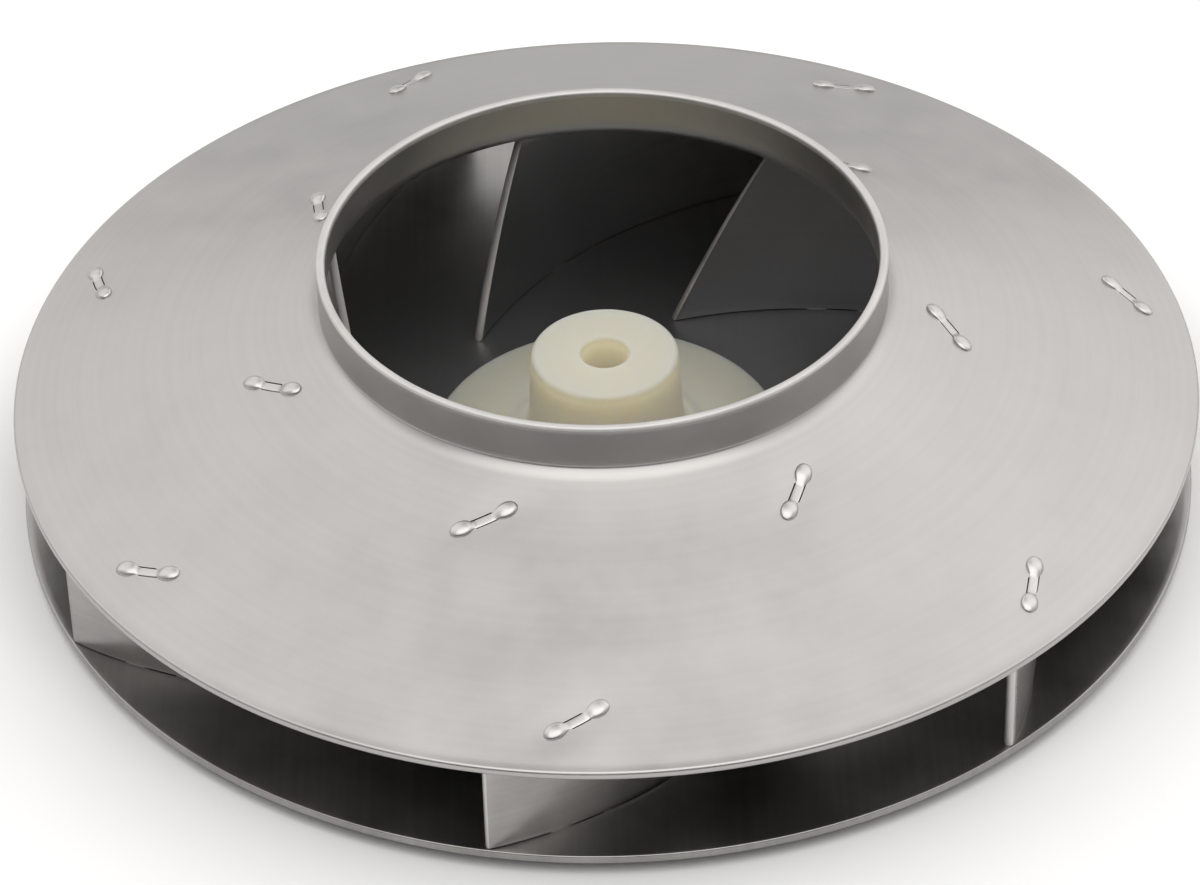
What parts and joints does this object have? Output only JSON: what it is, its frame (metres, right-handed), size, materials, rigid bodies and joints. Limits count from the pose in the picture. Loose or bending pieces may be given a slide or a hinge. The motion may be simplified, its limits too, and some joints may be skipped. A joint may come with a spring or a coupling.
{
  "type": "vacuum motor fan",
  "caption": "Closed centrifugal fan wheel with a conical front shroud, upright inlet collar, swept curved blades, flat back plate and a moulded hub with a bore.",
  "frame": {"origin": "centre of the hub's rear face, the lowest face, on the spin axis", "axes": "+Z along the spin axis from the back plate to the inlet collar; +X and +Y across the wheel"},
  "size_m": [0.2, 0.2, 0.0478],
  "materials": {
    "shroud_aluminium": "spun satin",
    "plate_aluminium": "mill finish, matt",
    "blade_aluminium": "mill finish, satin",
    "hub_nylon": "moulded natural nylon"
  },
  "bodies": {
    "root": {"front_shroud": "shroud_aluminium", "back_plate": "plate_aluminium", "hub": "hub_nylon", "blade_1": "blade_aluminium", "blade_2": "blade_aluminium", "blade_3": "blade_aluminium", "blade_4": "blade_aluminium", "blade_5": "blade_aluminium", "blade_6": "blade_aluminium", "blade_7": "blade_aluminium"}
  },
  "joints": []
}
